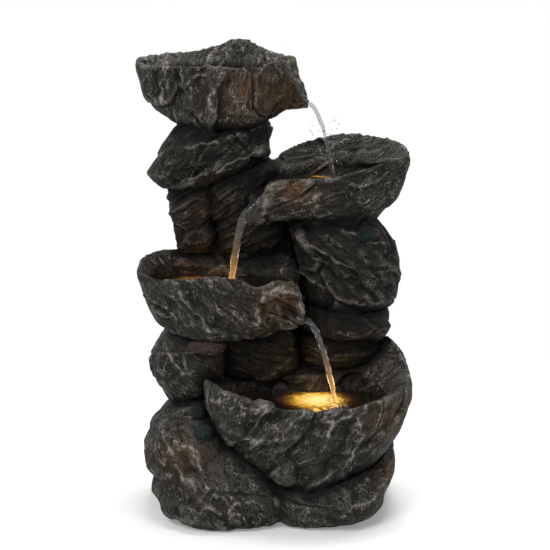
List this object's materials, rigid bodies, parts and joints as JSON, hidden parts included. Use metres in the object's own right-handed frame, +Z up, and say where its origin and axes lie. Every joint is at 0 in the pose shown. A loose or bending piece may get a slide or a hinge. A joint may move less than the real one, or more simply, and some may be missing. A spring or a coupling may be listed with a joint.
{
  "type": "cascade fountain",
  "caption": "Resin rock-pile cascade fountain: bowls stacked on hollow boulders spill into a lit basin, with a pump behind a hinged rear door.",
  "frame": {"origin": "on the ground, under the middle of the fountain's box without its mains lead", "axes": "+Z up, -Y towards the front of the bowls, +X to the viewer's right"},
  "size_m": [0.4643, 0.462, 0.79],
  "materials": {
    "cast_resin": "rough cast rock relief, dry-brushed pale on the ridges",
    "red_pebble": "smooth matt reddish stone",
    "dark_pebble": "smooth dark blue-green stone",
    "black_rubber": "matt rubber",
    "clear_rubber": "milky soft rubber",
    "magnet": "plated",
    "stainless_steel": "brushed",
    "brass": "satin",
    "ceramic": "polished",
    "black_plastic": "fine moulded texture",
    "tub_plastic": "moulded, satin",
    "pump_plastic": "moulded, satin",
    "impeller_plastic": "moulded",
    "dial_plastic": "moulded",
    "hose_vinyl": "clear flexible vinyl",
    "cable_sheath": "smooth flexible sheath",
    "plug_plastic": "moulded",
    "tie_plastic": "smooth strap",
    "lens": "clear, warm tinted",
    "circuit_board": "white solder mask"
  },
  "bodies": {
    "root": {"top_bowl": "cast_resin", "second_bowl": "cast_resin", "third_bowl": "cast_resin", "basin": "cast_resin", "upper_rock": "cast_resin", "right_rock": "cast_resin", "neck_left_rock": "cast_resin", "neck_slab": "cast_resin", "rear_column": "cast_resin", "shelf_rock": "cast_resin", "mid_left_rock": "cast_resin", "mid_center_rock": "cast_resin", "back_wall_rock": "cast_resin", "base_left_rock": "cast_resin", "base_right_rock": "cast_resin", "rear_panel": "cast_resin", "red_pebbles": "red_pebble", "dark_pebbles": "dark_pebble", "rubber_feet": "black_rubber", "door_gasket": "black_rubber", "catch_magnets": "magnet", "hinge_frame_leaves": "stainless_steel", "hinge_pins": "stainless_steel", "frame_hinge_screws": "stainless_steel", "sump_tub": "tub_plastic", "pump_housing": "pump_plastic", "volute_cover": "pump_plastic", "impeller_shaft": "ceramic", "shaft_bushes": "black_rubber", "suction_cups": "clear_rubber", "pump_cable": "cable_sheath", "riser_hose": "hose_vinyl", "hose_clamps": "stainless_steel", "outlet_fitting": "black_plastic", "outlet_seal": "black_rubber", "outlet_nut": "black_plastic", "overflow_pipe": "black_plastic", "overflow_seal": "black_rubber", "overflow_strainer": "black_plastic", "led_housings": "black_plastic", "led_lenses": "lens", "led_boards": "circuit_board", "led_seals": "black_rubber", "led_cables": "cable_sheath", "cable_junction": "black_plastic", "supply_lead": "cable_sheath", "cord_gland": "black_plastic", "power_cord": "cable_sheath", "cord_coil": "cable_sheath", "cord_tie": "tie_plastic", "plug_body": "plug_plastic", "plug_pins": "brass"},
    "rear_door": {"rear_door": "cast_resin", "door_magnets": "magnet", "door_knob": "black_plastic", "hinge_door_leaves": "stainless_steel", "door_hinge_screws": "stainless_steel"},
    "impeller": {"impeller": "impeller_plastic"},
    "intake_cover": {"intake_cover": "pump_plastic"},
    "flow_dial": {"flow_dial": "dial_plastic"}
  },
  "joints": [
    {"name": "door_hinge", "type": "hinge", "parent": "root", "child": "rear_door", "pos_m": [-0.0045, 0.1649, 0.132], "axis": [0, 0, -1], "range_deg": [0, 110]},
    {"name": "impeller_spin", "type": "hinge", "parent": "root", "child": "impeller", "pos_m": [-0.06, 0.086, 0.043], "axis": [1, 0, 0], "continuous": true},
    {"name": "intake_pull", "type": "slide", "parent": "root", "child": "intake_cover", "axis": [1, 0, 0], "range_m": [0, 0.03]},
    {"name": "flow_turn", "type": "hinge", "parent": "intake_cover", "child": "flow_dial", "pos_m": [-0.028, 0.086, 0.043], "axis": [1, 0, 0], "range_deg": [0, 90]}
  ]
}
